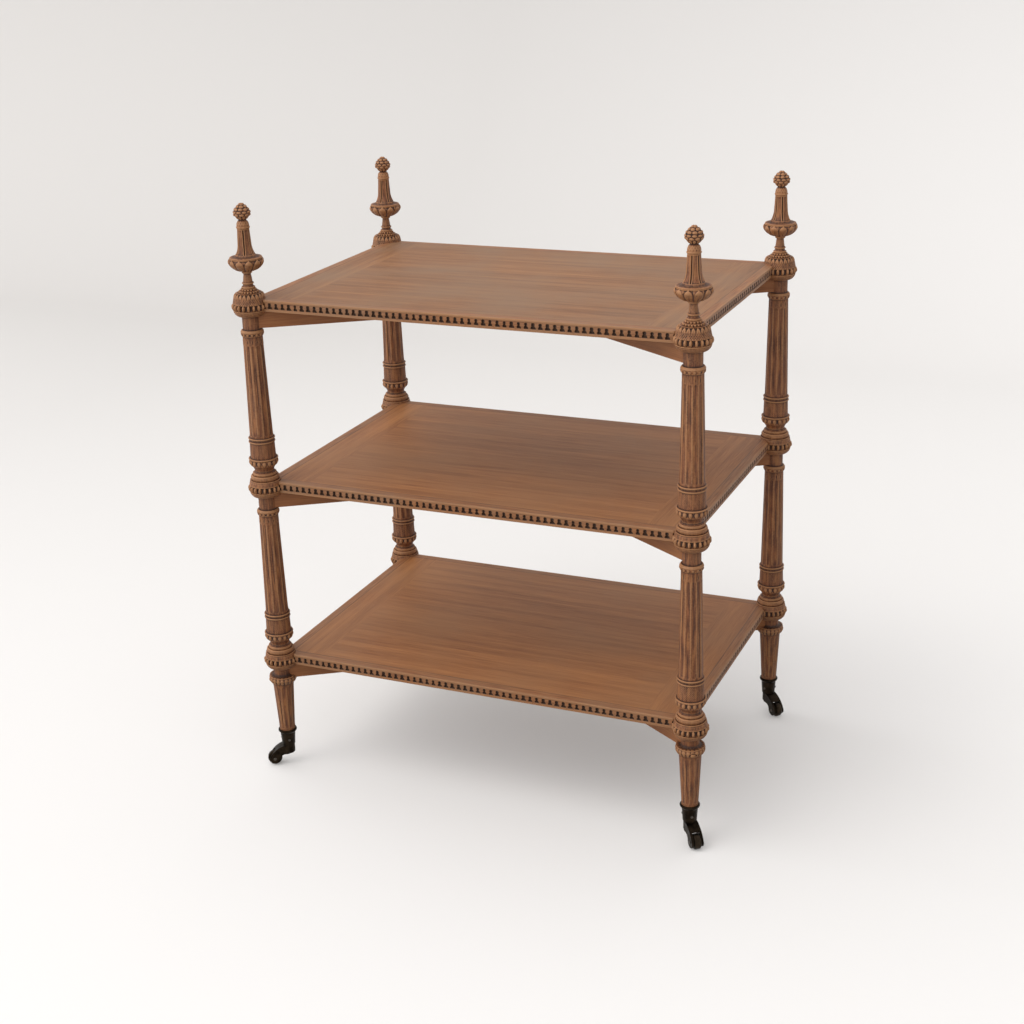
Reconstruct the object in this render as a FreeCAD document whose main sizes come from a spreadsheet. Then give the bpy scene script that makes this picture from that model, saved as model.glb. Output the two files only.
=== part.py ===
import FreeCAD
import Part
import Sketcher
import math
import os
import re

# Three-tier display stand on castors: four turned and fluted posts, each in four lengths,
# three clipped shelves with rounded edge mouldings, and two crossing rails under each shelf.
# Frame: +Z up, X along the shelves, front towards -Y, origin on the floor at the centre.

doc = FreeCAD.newDocument("display_stand")
sheet = doc.addObject("Spreadsheet::Sheet", "Sizes")

# Driving sizes in millimetres, and the counts
SIZES = {
    "stand": {
        "post_span_long": 858,
        "post_span_short": 554,
        "bottom_shelf_level": 228.5,
        "middle_shelf_level": 594.5,
        "top_shelf_level": 951,
    },
    "shelf": {
        "shelf_side_inset": 4,
        "shelf_front_overhang": 4,
        "shelf_thick": 21.5,
        "moulding_wide": 19,
        "end_board_wide": 65,
        "corner_clip_reach": 25,
    },
    "edge moulding": {
        "lip_tall": 5,
        "lip_bulge": 1.2,
        "edge_bead_tall": 12,
        "edge_bead_bulge": 3,
        "edge_bead_inset": 0.5,
        "edge_fillet_inset": 2,
    },
    "rail": {
        "rail_deep": 33,
        "rail_thick": 20,
        "rail_housing_reach": 8,
        "rail_screw_place": 190,
    },
    "shelf screw": {
        "shelf_screw_radius": 2.2,
        "shelf_screw_head_radius": 4.2,
        "shelf_screw_head_tall": 2.6,
        "shelf_screw_bite": 12,
        "shelf_screw_sink": 18,
    },
    "column": {
        "waist_radius": 18.2,
        "waist_rise": 10.5,
        "drop_ring_low_radius": 23.8,
        "drop_ring_high_radius": 26,
        "drop_ring_tall": 12.5,
        "drop_lip_radius": 28.3,
        "drop_lip_tall": 3,
        "drum_low_radius": 24.5,
        "drum_high_radius": 23.6,
        "drum_tall": 31,
        "fillet_ring_radius": 25.5,
        "fillet_ring_tall": 3,
        "fillet_hollow_radius": 23.3,
        "fillet_hollow_tall": 4,
        "shaft_low_radius": 22.6,
        "shaft_high_radius": 18.8,
        "astragal_radius": 22,
        "astragal_bulge": 2.6,
        "astragal_tall": 12,
        "neck_radius": 16.9,
        "neck_tall": 27,
    },
    "collar": {
        "collar_foot_low_radius": 24,
        "collar_foot_radius": 31.6,
        "collar_foot_drop": 9,
        "collar_foot_lap": 2.5,
        "collar_bead_radius": 34.5,
        "collar_bead_tall": 12,
        "collar_band_low_radius": 31.4,
        "collar_band_high_radius": 29.2,
        "collar_band_tall": 10.5,
        "low_step_radius": 27.4,
        "low_step_bulge": 2.2,
        "low_step_tall": 9.5,
        "high_step_radius": 23.4,
        "high_step_bulge": 1.8,
        "high_step_tall": 5.5,
        "step_cove_rise": 3.5,
    },
    "bell over the top collar": {
        "bell_radius": 28.9,
        "leaf_band_tall": 9,
        "leaf_band_high_radius": 24.8,
        "bell_ring_tall": 4,
        "bell_low_ring_radius": 19.5,
        "bell_middle_ring_radius": 15.2,
        "bell_high_ring_radius": 12.8,
        "bell_top_radius": 9.5,
        "bell_top_rise": 4,
    },
    "finial": {
        "finial_ring_radius": 11,
        "finial_ring_tall": 3.5,
        "finial_neck_low_radius": 9,
        "finial_neck_high_radius": 6.8,
        "finial_neck_rise": 16.5,
        "saucer_ring_radius": 9.8,
        "saucer_ring_tall": 4.5,
        "bowl_low_radius": 10,
        "bowl_radius": 33.1,
        "bowl_rise": 16,
        "bowl_high_radius": 30.3,
        "bowl_high_rise": 8,
        "rim_radius": 29.6,
        "rim_tall": 2,
        "sweep_radius": 20.5,
        "sweep_rise": 5,
        "spire_low_radius": 13.2,
        "spire_low_rise": 17.5,
        "spire_high_radius": 11.4,
        "spire_high_rise": 30,
        "spire_ring_radius": 12.7,
        "spire_ring_tall": 4,
        "cap_radius": 11.5,
        "cap_rise": 11.4,
        "knob_neck_radius": 7,
        "knob_radius": 16.2,
        "knob_low_rise": 14.4,
    },
    "leg": {
        "leg_neck_radius": 17,
        "leg_neck_tall": 13.5,
        "leg_shoulder_radius": 21,
        "leg_shoulder_tall": 4.5,
        "leg_lip_radius": 26.4,
        "leg_lip_tall": 2,
        "leg_ring_radius": 27.6,
        "leg_ring_tall": 14,
        "leg_ring_low_radius": 22.5,
        "leg_ring_high_radius": 25.9,
        "leg_high_radius": 21,
        "leg_low_radius": 15.6,
    },
    "spigots and flutes": {
        "spigot_radius": 7,
        "finial_spigot_radius": 5,
        "spigot_tall": 18,
        "spigot_play": 0.15,
        "seat_play": 0.2,
        "flute_count": 12,
        "column_flute_radius": 8,
        "column_flute_deep": 1.2,
        "column_flute_low_margin": 4,
        "column_flute_high_margin": 18,
        "leg_flute_radius": 5.2,
        "leg_flute_deep": 1.2,
        "leg_flute_margin": 9,
    },
    "castor": {
        "wheel_radius": 14.5,
        "wheel_wide": 12.8,
        "wheel_edge_round": 3.5,
        "wheel_side_play": 1.1,
        "axle_radius": 2,
        "axle_head_radius": 3.2,
        "axle_head_tall": 1,
        "running_play": 0.05,
        "castor_trail": 30,
        "cheek_thick": 4.2,
        "cheek_end_radius": 11,
        "cheek_foot_run": 9,
        "horn_radius": 12,
        "horn_foot_level": 23.5,
        "horn_foot_round": 4,
        "horn_top_level": 44,
        "horn_shoulder_run": 5,
        "wheel_arch_play": 3,
        "kingpin_radius": 3,
        "kingpin_head_radius": 5,
        "kingpin_head_tall": 2,
        "swivel_play": 0.3,
        "cup_floor_thick": 3.6,
        "cup_wall": 1.6,
        "cup_foot_radius": 13.2,
        "cup_waist_radius": 14.9,
        "cup_body_tall": 24,
        "cup_flare_tall": 5,
        "cup_rim_radius": 18.8,
        "cup_rim_bulge": 1.6,
        "cup_rim_tall": 6,
        "cup_mouth_radius": 16.4,
        "cup_play": 0.2,
        "cup_screw_count": 3,
        "cup_screw_radius": 1.5,
        "cup_screw_head_radius": 2.6,
        "cup_screw_head_tall": 1.2,
        "cup_screw_bite": 8,
        "cup_screw_rise": 12,
    },
    "cutting": {
        "overrun": 5,
    },
}

row = 0
for piece_name, sizes in SIZES.items():
    row += 1
    sheet.set("A%d" % row, piece_name)
    for alias, size in sizes.items():
        row += 1
        sheet.set("A%d" % row, alias.replace("_", " "))
        sheet.set("B%d" % row, str(size))
        sheet.setAlias("B%d" % row, alias)
doc.recompute()
ALIASES = {alias for sizes in SIZES.values() for alias in sizes}

# How far a curve rises from its chord, as a share of the chord: outwards, or inwards if negative
HALF_ROUND_SHARE = 0.5
QUARTER_ROUND_SHARE = (math.sqrt(2) - 1) / 2
SWELL_SHARE = 0.13
HOLLOW_SHARE = -0.16
FAINT_HOLLOW_SHARE = -0.08
BOWL_SWELL_SHARE = 0.15
DROP_SWELL_SHARE = 0.25
# Where the leg's gadrooned ring is widest, from its foot, as a share of its height
LEG_RING_WIDEST_SHARE = 0.6

# Levels and lengths that follow from the driving sizes
CUP_LEVEL = "(horn_top_level + swivel_play)"
CUP_TALL = "(cup_body_tall + cup_flare_tall + cup_rim_tall)"
LEG_END_LEVEL = "(horn_top_level + 3 * swivel_play + cup_floor_thick + kingpin_head_tall)"
LEG_RING_STACK = "(leg_ring_tall + leg_lip_tall + leg_shoulder_tall + leg_neck_tall + collar_foot_drop)"
LEG_TAPER = "(bottom_shelf_level - %s - %s - %s)" % (LEG_RING_STACK, CUP_LEVEL, CUP_TALL)
COLLAR_OVER_SHELF = "(collar_foot_lap + collar_bead_tall + collar_band_tall)"
WAIST_OVER_SHELF = "(%s + low_step_tall + high_step_tall + step_cove_rise)" % COLLAR_OVER_SHELF
FILLET_TALL = "(2 * fillet_ring_tall + fillet_hollow_tall)"
COLUMN_FOOT = "(waist_rise + drop_ring_tall + drop_lip_tall + drum_tall + %s)" % FILLET_TALL
COLUMN_HEAD = "(astragal_tall + neck_tall + collar_foot_drop)"
LOWER_RISE = "(middle_shelf_level - bottom_shelf_level - %s)" % WAIST_OVER_SHELF
UPPER_RISE = "(top_shelf_level - middle_shelf_level - %s)" % WAIST_OVER_SHELF
BELL_TALL = "(leaf_band_tall + 3 * bell_ring_tall + bell_top_rise)"
FINIAL_LEVEL = "(top_shelf_level + %s + %s)" % (COLLAR_OVER_SHELF, BELL_TALL)
SHELF_LONG_REACH = "(post_span_long / 2 - shelf_side_inset)"
SHELF_SHORT_REACH = "(post_span_short / 2 + shelf_front_overhang)"
RAIL_LONG = "(sqrt(post_span_long^2 + post_span_short^2) - 2 * rail_housing_reach)"
SLOT_WIDE = "(wheel_wide + 2 * wheel_side_play)"
HORN_WIDE = "(%s + 2 * cheek_thick)" % SLOT_WIDE

CORNERS = {
    "front_left": (-1, -1),
    "front_right": (1, -1),
    "back_right": (1, 1),
    "back_left": (-1, 1),
}
# Where each castor trails, in degrees from +X, as the stand was last rolled
CASTOR_HEADINGS = {"front_left": -150, "front_right": -50, "back_right": -40, "back_left": 130}
# How far the first screw of each cup stands round from the outward diagonal, in degrees
CUP_SCREW_TURN = -23
TIERS = {
    "bottom": "bottom_shelf_level",
    "middle": "middle_shelf_level",
    "top": "top_shelf_level",
}
UP = FreeCAD.Vector(0, 0, 1)
SKETCH_UP = FreeCAD.Vector(0, 1, 0)


def named(expression):
    """The expression with each size written as the sheet's cell."""
    return re.sub("[a-z_]+", lambda word: "Sizes." + word[0] if word[0] in ALIASES else word[0], expression)


def size_of(expression):
    """Value of an expression over the sheet's sizes."""
    return float(sheet.evalExpression(named(expression)))


def bind(item, **expressions):
    """Tie properties of an object to expressions over the sheet's sizes."""
    for name, expression in expressions.items():
        item.setExpression(name, named(expression))


RAIL_TURN = size_of("atan(post_span_short / post_span_long)")


def corner_turn(corner):
    """Direction from a post to the stand's centre, in degrees from +X."""
    side_x, side_y = CORNERS[corner]
    inwards_x, inwards_y = -side_x * size_of("post_span_long"), -side_y * size_of("post_span_short")
    return math.degrees(math.atan2(inwards_y, inwards_x))


def place(item, across="0", depth="0", level="0", turn=0):
    """Stand an object at a point given in sizes, turned about +Z."""
    item.Placement = FreeCAD.Placement(FreeCAD.Vector(), FreeCAD.Rotation(UP, turn))
    for axis, expression in (("x", across), ("y", depth), ("z", level)):
        item.setExpression("Placement.Base." + axis, named(expression))


def place_at_corner(item, corner, level="0", turn=0):
    """Stand an object on a post's axis."""
    side_x, side_y = CORNERS[corner]
    place(item, "%d * post_span_long / 2" % side_x, "%d * post_span_short / 2" % side_y, level, turn)


finished = []


def copy_of(master, label):
    """A piece in its own named node, made from the master of its kind."""
    copy = doc.addObject("Part::Compound", label)
    copy.Links = [master]
    copy.Label = label
    finished.append(copy)
    return copy


def origin_feature(body, role):
    """One of a body's own origin planes or axes."""
    return [feature for feature in body.Origin.OriginFeatures if feature.Role == role][0]


def pin(sketch, kind, edge, end, expression, base=-1, base_end=1):
    """Dimension a point of a sketch from its origin or from another point, signs taken care of."""
    size = size_of(expression)
    if base == -1 and round(size, 6) == 0:
        axis = -2 if kind == "DistanceX" else -1
        sketch.addConstraint(Sketcher.Constraint("PointOnObject", edge, end, axis))
        return
    if size < 0:
        index = sketch.addConstraint(Sketcher.Constraint(kind, edge, end, base, base_end, -size))
        sketch.setExpression("Constraints[%d]" % index, named("-(%s)" % expression))
        return
    index = sketch.addConstraint(Sketcher.Constraint(kind, base, base_end, edge, end, size))
    sketch.setExpression("Constraints[%d]" % index, named(expression))


def new_sketch(body, name, plane):
    """Empty sketch on one of the body's own origin planes."""
    sketch = body.newObject("Sketcher::SketchObject", name)
    sketch.AttachmentSupport = [(origin_feature(body, plane), "")]
    sketch.MapMode = "FlatFace"
    return sketch


def outline_sketch(body, name, plane, start, steps):
    """
    Closed outline, drawn with its outside on the right. Each step gives the rise, the distance
    out from the axis that it ends at, and its roundness: None for straight, or a share of its chord.
    """
    sketch = new_sketch(body, name, plane)
    across, along = start
    x, y = size_of(across), size_of(along)
    first_point = FreeCAD.Vector(x, y, 0)
    ends = []
    for rise, next_across, roundness in steps:
        begin = FreeCAD.Vector(x, y, 0)
        x, y = size_of(next_across), y + size_of(rise)
        finish = FreeCAD.Vector(x, y, 0)
        if roundness is None:
            edge = sketch.addGeometry(Part.LineSegment(begin, finish), False)
            ends.append((edge, 1, 2))
            continue
        share = size_of(str(roundness))
        chord = finish - begin
        set_in = (1 - 4 * share ** 2) / (8 * share)
        centre = (begin + finish) / 2 + FreeCAD.Vector(-chord.y, chord.x, 0) * set_in
        low, high = (begin, finish) if share > 0 else (finish, begin)
        low_angle = math.atan2(low.y - centre.y, low.x - centre.x)
        high_angle = math.atan2(high.y - centre.y, high.x - centre.x)
        if high_angle < low_angle:
            high_angle += math.tau
        circle = Part.Circle(centre, UP, (begin - centre).Length)
        edge = sketch.addGeometry(Part.ArcOfCircle(circle, low_angle, high_angle), False)
        ends.append((edge, 1, 2) if share > 0 else (edge, 2, 1))
    edge = sketch.addGeometry(Part.LineSegment(FreeCAD.Vector(x, y, 0), first_point), False)
    ends.append((edge, 1, 2))

    for this, following in zip(ends, ends[1:] + ends[:1]):
        sketch.addConstraint(Sketcher.Constraint("Coincident", this[0], this[2], following[0], following[1]))
    pin(sketch, "DistanceX", ends[0][0], ends[0][1], across)
    pin(sketch, "DistanceY", ends[0][0], ends[0][1], along)
    for (edge, begin_end, finish_end), (rise, next_across, roundness) in zip(ends, steps):
        if rise == "0":
            sketch.addConstraint(Sketcher.Constraint("Horizontal", edge, begin_end, edge, finish_end))
        else:
            pin(sketch, "DistanceY", edge, finish_end, rise, edge, begin_end)
        pin(sketch, "DistanceX", edge, finish_end, next_across)
        if roundness is not None:
            middle = "(%s + %s) / 2" % (across, next_across)
            set_in = "(1 - 4 * (%s)^2) / (8 * (%s))" % (roundness, roundness)
            pin(sketch, "DistanceX", edge, 3, "%s - (%s) * %s" % (middle, rise, set_in))
        across = next_across
    return sketch


def circle_sketch(body, name, plane, across, along, radius):
    """Sketch of one circle."""
    sketch = new_sketch(body, name, plane)
    centre = FreeCAD.Vector(size_of(across), size_of(along), 0)
    sketch.addGeometry(Part.Circle(centre, UP, size_of(radius)), False)
    pin(sketch, "DistanceX", 0, 3, across)
    pin(sketch, "DistanceY", 0, 3, along)
    index = sketch.addConstraint(Sketcher.Constraint("Radius", 0, size_of(radius)))
    sketch.setExpression("Constraints[%d]" % index, named(radius))
    return sketch


def turned_body(name, start, steps, plane="XZ_Plane"):
    """A piece turned on a lathe: its outline revolved about the plane's upright axis."""
    body = doc.addObject("PartDesign::Body", name)
    sketch = outline_sketch(body, name + "_outline", plane, start, steps)
    turning = body.newObject("PartDesign::Revolution", name + "_turning")
    turning.Profile = sketch
    turning.ReferenceAxis = (sketch, ["V_Axis"])
    turning.Angle = 360
    return body


cuts = []


def cut(body, sketch, length, side="Symmetric"):
    """Cut a sketch's outline out of its body, over a length."""
    pocket = body.newObject("PartDesign::Pocket", sketch.Name + "_cut")
    pocket.Profile = sketch
    pocket.SideType = side
    bind(pocket, Length=length)
    cuts.append(pocket)
    return pocket


def repeat_round(body, feature, count):
    """Repeat a cut round the piece's axis."""
    pattern = body.newObject("PartDesign::PolarPattern", feature.Name + "_pattern")
    pattern.Originals = [feature]
    pattern.Axis = (origin_feature(body, "Z_Axis"), [""])
    pattern.Angle = 360
    bind(pattern, Occurrences=count)
    body.Tip = pattern
    cuts.append(pattern)


def flute(body, foot_level, low_radius, high_radius, tall, low_margin, high_margin, kind):
    """Flutes down a tapered shaft, each a shallow round channel that runs out at both ends."""
    radius, deep = kind + "_flute_radius", kind + "_flute_deep"

    def out_at(rise):
        return "%s - (%s - %s) * (%s) / %s" % (low_radius, low_radius, high_radius, rise, tall)

    long = "(%s - %s - %s)" % (tall, low_margin, high_margin)
    low_in = "%s + %s" % (low_margin, radius)
    high_out = "%s - %s" % (tall, high_margin)
    high_in = "%s - %s" % (high_out, radius)
    axis_low = "%s + %s - %s" % (out_at(low_margin), radius, deep)
    axis_high = "%s + %s - %s" % (out_at(high_out), radius, deep)
    start_level = "%s + %s" % (foot_level, low_margin)
    sketch = outline_sketch(body, body.Name + "_flute", "XZ_Plane", (axis_low, start_level), [
        (long, axis_high, None),
        ("-" + radius, "%s - %s" % (out_at(high_in), deep), None),
        ("-(%s - 2 * %s)" % (long, radius), "%s - %s" % (out_at(low_in), deep), None),
    ])
    axis = sketch.addGeometry(sketch.Geometry[0], True)
    sketch.addConstraint(Sketcher.Constraint("Coincident", axis, 1, 0, 1))
    sketch.addConstraint(Sketcher.Constraint("Coincident", axis, 2, 0, 2))
    groove = body.newObject("PartDesign::Groove", sketch.Name + "_cut")
    groove.Profile = sketch
    groove.ReferenceAxis = (sketch, ["Axis0"])
    groove.Angle = 360
    cuts.append(groove)
    repeat_round(body, groove, "flute_count")


def house_shelf_and_rail(body, underside):
    """Notch the collar for the shelf's clipped corner, and house the end of its rail below."""
    out = "collar_bead_radius + overrun"
    notch_in = "corner_clip_reach - seat_play"
    notch = outline_sketch(body, body.Name + "_notch", "XZ_Plane", (notch_in, underside), [
        ("0", out, None),
        ("shelf_thick + seat_play", out, None),
        ("0", notch_in, None),
    ])
    cut(body, notch, "2 * (%s)" % out)
    housing_in = "rail_housing_reach - seat_play"
    foot = "%s - rail_deep - seat_play" % underside
    housing = outline_sketch(body, body.Name + "_housing", "XZ_Plane", (housing_in, foot), [
        ("0", out, None),
        ("rail_deep + seat_play", out, None),
        ("0", housing_in, None),
    ])
    cut(body, housing, "rail_thick + 2 * seat_play")


# Outlines that several turned pieces share
COLLAR_BEAD_SEAT = "collar_bead_radius - collar_bead_tall / 2"
COLLAR = [
    ("0", "collar_foot_low_radius", None),
    ("collar_foot_drop + collar_foot_lap", "collar_foot_radius", SWELL_SHARE),
    ("0", COLLAR_BEAD_SEAT, None),
    ("collar_bead_tall", COLLAR_BEAD_SEAT, HALF_ROUND_SHARE),
    ("0", "collar_band_low_radius", None),
    ("collar_band_tall", "collar_band_high_radius", None),
]
STEPPED_RINGS = []
for ring in ("low_step", "high_step"):
    seat = "%s_radius - %s_bulge" % (ring, ring)
    STEPPED_RINGS += [("0", seat, None), (ring + "_tall", seat, "%s_bulge / %s_tall" % (ring, ring))]
STEPPED_RINGS += [("step_cove_rise", "waist_radius", HOLLOW_SHARE)]


def socket(radius):
    """Hole down from the top of a piece for the spigot of the piece above."""
    hole = "%s + spigot_play" % radius
    return [("0", hole, None), ("-(spigot_tall + seat_play)", hole, None), ("0", "0", None)]


def spigot(radius):
    """Start of an outline at the foot of a spigot, and the steps up to the seam."""
    return ("0", "-spigot_tall"), [("0", radius, None), ("spigot_tall", radius, None)]


def column_body(name, rise, crown):
    """A column from its waist, past one fluted shaft, to the crown over its collar."""
    shaft = "(%s - %s - %s)" % (rise, COLUMN_FOOT, COLUMN_HEAD)
    drop_lip_seat = "drop_lip_radius - drop_lip_tall / 2"
    fillet_seat = "fillet_ring_radius - fillet_ring_tall / 2"
    astragal_seat = "astragal_radius - astragal_bulge"
    start, spigot_steps = spigot("spigot_radius")
    body = turned_body(name, start, spigot_steps + [
        ("0", "waist_radius", None),
        ("waist_rise", "drop_ring_low_radius", FAINT_HOLLOW_SHARE),
        ("drop_ring_tall", "drop_ring_high_radius", DROP_SWELL_SHARE),
        ("0", drop_lip_seat, None),
        ("drop_lip_tall", drop_lip_seat, HALF_ROUND_SHARE),
        ("0", "drum_low_radius", None),
        ("drum_tall", "drum_high_radius", None),
        ("0", fillet_seat, None),
        ("fillet_ring_tall", fillet_seat, HALF_ROUND_SHARE),
        ("0", "fillet_hollow_radius", None),
        ("fillet_hollow_tall", "fillet_hollow_radius", None),
        ("0", fillet_seat, None),
        ("fillet_ring_tall", fillet_seat, HALF_ROUND_SHARE),
        ("0", "shaft_low_radius", None),
        (shaft, "shaft_high_radius", None),
        ("0", astragal_seat, None),
        ("astragal_tall", astragal_seat, "astragal_bulge / astragal_tall"),
        ("0", "neck_radius", None),
        ("neck_tall", "neck_radius", None),
    ] + COLLAR + crown)
    flute(body, COLUMN_FOOT, "shaft_low_radius", "shaft_high_radius", shaft,
          "column_flute_low_margin", "column_flute_high_margin", "column")
    house_shelf_and_rail(body, rise)
    return body


def bell_crown():
    """Leaf band, three rings and cove that close the top of an upper column."""
    steps = [("0", "bell_radius", None), ("leaf_band_tall", "leaf_band_high_radius", SWELL_SHARE)]
    for radius in ("bell_low_ring_radius", "bell_middle_ring_radius", "bell_high_ring_radius"):
        seat = "%s - bell_ring_tall / 2" % radius
        steps += [("0", seat, None), ("bell_ring_tall", seat, HALF_ROUND_SHARE)]
    return steps + [("bell_top_rise", "bell_top_radius", HOLLOW_SHARE)] + socket("finial_spigot_radius")


def finial_body():
    """Finial: ringed neck, round-edged saucer and spire under a round knob."""
    ring_seat = "finial_ring_radius - finial_ring_tall / 2"
    saucer_ring_seat = "saucer_ring_radius - saucer_ring_tall / 2"
    rim_seat = "rim_radius - rim_tall / 2"
    spire_ring_seat = "spire_ring_radius - spire_ring_tall / 2"
    start, spigot_steps = spigot("finial_spigot_radius")
    return turned_body("finial", start, spigot_steps + [
        ("0", ring_seat, None),
        ("finial_ring_tall", ring_seat, HALF_ROUND_SHARE),
        ("0", "finial_neck_low_radius", None),
        ("finial_neck_rise", "finial_neck_high_radius", None),
        ("0", saucer_ring_seat, None),
        ("saucer_ring_tall", saucer_ring_seat, HALF_ROUND_SHARE),
        ("0", "bowl_low_radius", None),
        ("bowl_rise", "bowl_radius", BOWL_SWELL_SHARE),
        ("bowl_high_rise", "bowl_high_radius", BOWL_SWELL_SHARE),
        ("0", rim_seat, None),
        ("rim_tall", rim_seat, HALF_ROUND_SHARE),
        ("sweep_rise", "sweep_radius", FAINT_HOLLOW_SHARE),
        ("spire_low_rise", "spire_low_radius", FAINT_HOLLOW_SHARE),
        ("spire_high_rise", "spire_high_radius", None),
        ("0", spire_ring_seat, None),
        ("spire_ring_tall", spire_ring_seat, HALF_ROUND_SHARE),
        ("0", "cap_radius", None),
        ("cap_rise", "knob_neck_radius", SWELL_SHARE),
        ("knob_low_rise", "knob_radius", SWELL_SHARE),
        ("knob_radius", "0", QUARTER_ROUND_SHARE),
    ])


def leg_body():
    """Leg: collar and gadrooned ring over a fluted taper, whose end fits the castor's cup."""
    ring_low_rise = "leg_ring_tall * %s" % LEG_RING_WIDEST_SHARE
    body = turned_body("leg", ("0", LEG_END_LEVEL), [
        ("0", "cup_foot_radius - cup_wall - cup_play", None),
        ("cup_body_tall - cup_floor_thick - kingpin_head_tall - 2 * swivel_play",
         "cup_waist_radius - cup_wall - cup_play", None),
        ("cup_flare_tall", "leg_low_radius", None),
        ("cup_rim_tall", "leg_low_radius", None),
        (LEG_TAPER, "leg_high_radius", None),
        ("0", "leg_ring_low_radius", None),
        (ring_low_rise, "leg_ring_radius", SWELL_SHARE),
        ("leg_ring_tall - " + ring_low_rise, "leg_ring_high_radius", SWELL_SHARE),
        ("0", "leg_lip_radius", None),
        ("leg_lip_tall", "leg_lip_radius", None),
        ("0", "leg_shoulder_radius", None),
        ("leg_shoulder_tall", "leg_neck_radius", HOLLOW_SHARE),
        ("leg_neck_tall", "leg_neck_radius", None),
    ] + COLLAR + STEPPED_RINGS + socket("spigot_radius"))
    flute(body, "%s + %s" % (CUP_LEVEL, CUP_TALL), "leg_low_radius", "leg_high_radius", LEG_TAPER,
          "leg_flute_margin", "leg_flute_margin", "leg")
    house_shelf_and_rail(body, "bottom_shelf_level")
    cup_screw_holes(body, CUP_LEVEL + " + cup_screw_rise")
    return body


def cup_screw_holes(body, level):
    """Radial holes for the screws that hold a cup on its leg."""
    hole = circle_sketch(body, body.Name + "_screw_hole", "YZ_Plane", "0", level,
                         "cup_screw_radius + running_play")
    hole.AttachmentOffset = FreeCAD.Placement(FreeCAD.Vector(), FreeCAD.Rotation(SKETCH_UP, CUP_SCREW_TURN))
    repeat_round(body, cut(body, hole, "cup_rim_radius + overrun", "One side"), "cup_screw_count")


def cup_body():
    """Castor cup: a tapered socket with a flared round rim, and the kingpin's hole in its floor."""
    rim_seat = "cup_rim_radius - cup_rim_bulge"
    body = turned_body("castor_cup", ("kingpin_radius + running_play", "0"), [
        ("0", "cup_foot_radius", None),
        ("cup_body_tall", "cup_waist_radius", None),
        ("cup_flare_tall", rim_seat, HOLLOW_SHARE),
        ("cup_rim_tall", rim_seat, "cup_rim_bulge / cup_rim_tall"),
        ("0", "cup_mouth_radius", None),
        ("-cup_rim_tall", "cup_mouth_radius", None),
        ("-cup_flare_tall", "cup_waist_radius - cup_wall", None),
        ("-(cup_body_tall - cup_floor_thick)", "cup_foot_radius - cup_wall", None),
        ("0", "kingpin_radius + running_play", None),
    ])
    cup_screw_holes(body, "cup_screw_rise")
    return body


def horn_body():
    """Castor horn: barrel and riveted kingpin, with two curved cheeks that trail behind them."""
    body = turned_body("castor_horn", ("0", "horn_foot_level"), [
        ("0", "horn_radius - horn_foot_round", None),
        ("horn_foot_round", "horn_radius", QUARTER_ROUND_SHARE),
        ("horn_top_level - horn_foot_level - horn_foot_round", "horn_radius", None),
        ("0", "kingpin_radius", None),
        ("2 * swivel_play + cup_floor_thick", "kingpin_radius", None),
        ("0", "kingpin_head_radius", None),
        ("kingpin_head_tall", "kingpin_head_radius", None),
        ("0", "0", None),
    ])
    cheek_drop = "horn_foot_level - wheel_radius"
    cheeks = outline_sketch(body, "cheeks", "XZ_Plane", ("0", "horn_foot_level"), [
        ("0", "cheek_foot_run", None),
        ("-(%s)" % cheek_drop, "castor_trail - cheek_end_radius", HOLLOW_SHARE),
        ("-cheek_end_radius", "castor_trail", QUARTER_ROUND_SHARE),
        ("cheek_end_radius", "castor_trail + cheek_end_radius", QUARTER_ROUND_SHARE),
        ("horn_top_level - wheel_radius", "horn_shoulder_run", SWELL_SHARE),
        ("0", "0", None),
    ])
    pad = body.newObject("PartDesign::Pad", "cheeks_pad")
    pad.Profile = cheeks
    pad.SideType = "Symmetric"
    bind(pad, Length=HORN_WIDE)
    arch = circle_sketch(body, "wheel_arch", "XZ_Plane", "castor_trail", "wheel_radius",
                         "wheel_radius + wheel_arch_play")
    cut(body, arch, SLOT_WIDE)
    opening = outline_sketch(body, "cheek_opening", "XZ_Plane", ("cheek_foot_run", "0"), [
        ("0", "castor_trail", None),
        ("horn_foot_level", "castor_trail", None),
        ("0", "cheek_foot_run", None),
    ])
    cut(body, opening, SLOT_WIDE)
    bore = circle_sketch(body, "axle_hole", "XZ_Plane", "castor_trail", "wheel_radius",
                         "axle_radius + running_play")
    cut(body, bore, HORN_WIDE + " + 2 * overrun")
    return body


def axle_body():
    """Castor axle, headed at both ends against the cheeks."""
    half = "%s / 2" % HORN_WIDE
    body = turned_body("castor_axle", ("0", "-(%s + axle_head_tall)" % half), [
        ("0", "axle_head_radius", None),
        ("axle_head_tall", "axle_head_radius", None),
        ("0", "axle_radius", None),
        (HORN_WIDE, "axle_radius", None),
        ("0", "axle_head_radius", None),
        ("axle_head_tall", "axle_head_radius", None),
        ("0", "0", None),
    ], "XY_Plane")
    place(body, "castor_trail", level="wheel_radius")
    return body


def wheel_body():
    """Castor wheel with a rounded tread."""
    tread = "wheel_radius - wheel_edge_round"
    body = turned_body("castor_wheel", ("axle_radius + running_play", "-wheel_wide / 2"), [
        ("0", tread, None),
        ("wheel_edge_round", "wheel_radius", QUARTER_ROUND_SHARE),
        ("wheel_wide - 2 * wheel_edge_round", "wheel_radius", None),
        ("wheel_edge_round", tread, QUARTER_ROUND_SHARE),
        ("0", "axle_radius + running_play", None),
    ], "XY_Plane")
    place(body, "castor_trail", level="wheel_radius")
    return body


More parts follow.
